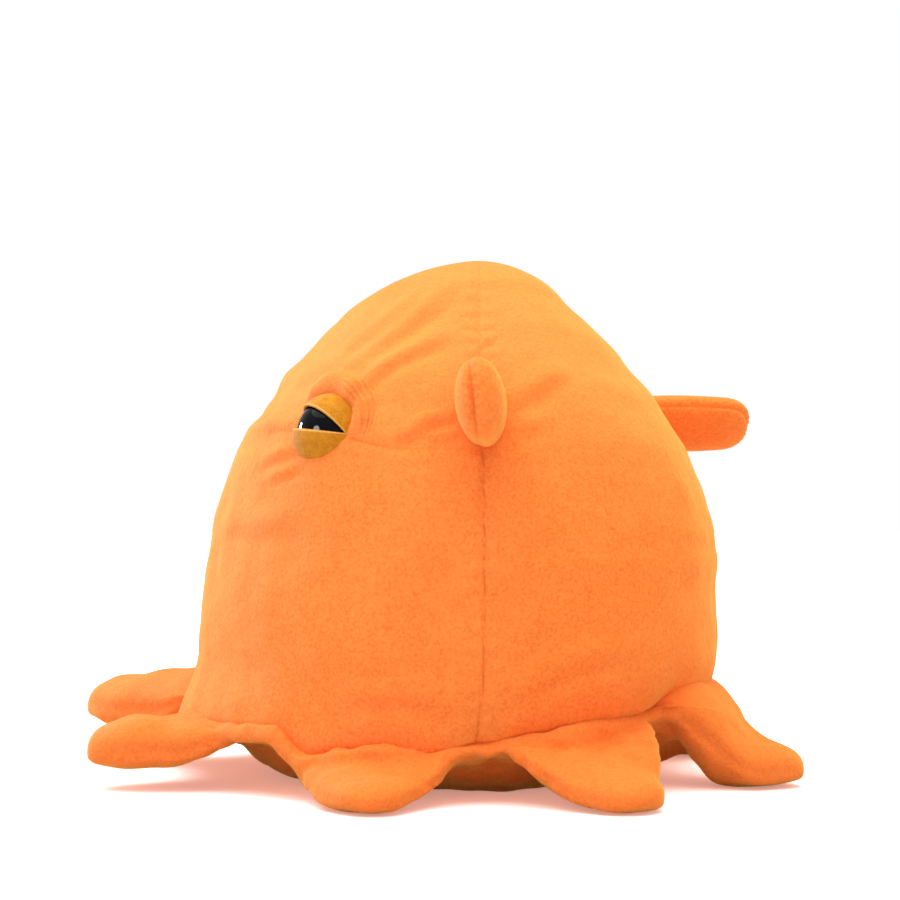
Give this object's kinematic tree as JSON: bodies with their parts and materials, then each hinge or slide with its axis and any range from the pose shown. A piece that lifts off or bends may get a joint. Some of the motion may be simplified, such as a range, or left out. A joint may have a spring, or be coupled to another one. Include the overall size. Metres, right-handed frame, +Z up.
{
  "type": "plush dumbo octopus",
  "caption": "Stuffed plush octopus toy: domed mantle on a skirt of webbed arms, with two side fins and half-lidded eyes.",
  "frame": {"origin": "middle of the flat under the belly, on the floor the toy stands on and on the mantle's own axis", "axes": "+Z up, the face looks along -Y, the toy's left side is +X"},
  "size_m": [0.2667, 0.2974, 0.203],
  "materials": {
    "mantle_plush": "short-pile plush, orange, with a soft sheen",
    "skirt_plush": "short-pile plush, orange",
    "arm_plush": "short-pile plush, orange",
    "fin_plush": "short-pile plush, orange",
    "lid_felt": "close fleece, mustard",
    "eye_gloss": "polished black plastic",
    "washer_plastic": "plain white moulded plastic"
  },
  "bodies": {
    "root": {"mantle": "mantle_plush", "skirt": "skirt_plush", "arm_front_left": "arm_plush", "arm_face_left": "arm_plush", "arm_side_left": "arm_plush", "arm_fin_left": "arm_plush", "arm_back": "arm_plush", "arm_back_right": "arm_plush", "arm_side_right": "arm_plush", "arm_face_right": "arm_plush", "left_fin": "fin_plush", "right_fin": "fin_plush", "left_eye": "eye_gloss", "right_eye": "eye_gloss", "left_upper_lid": "lid_felt", "left_lower_lid": "lid_felt", "right_upper_lid": "lid_felt", "right_lower_lid": "lid_felt", "left_eye_washer": "washer_plastic", "right_eye_washer": "washer_plastic"}
  },
  "joints": []
}
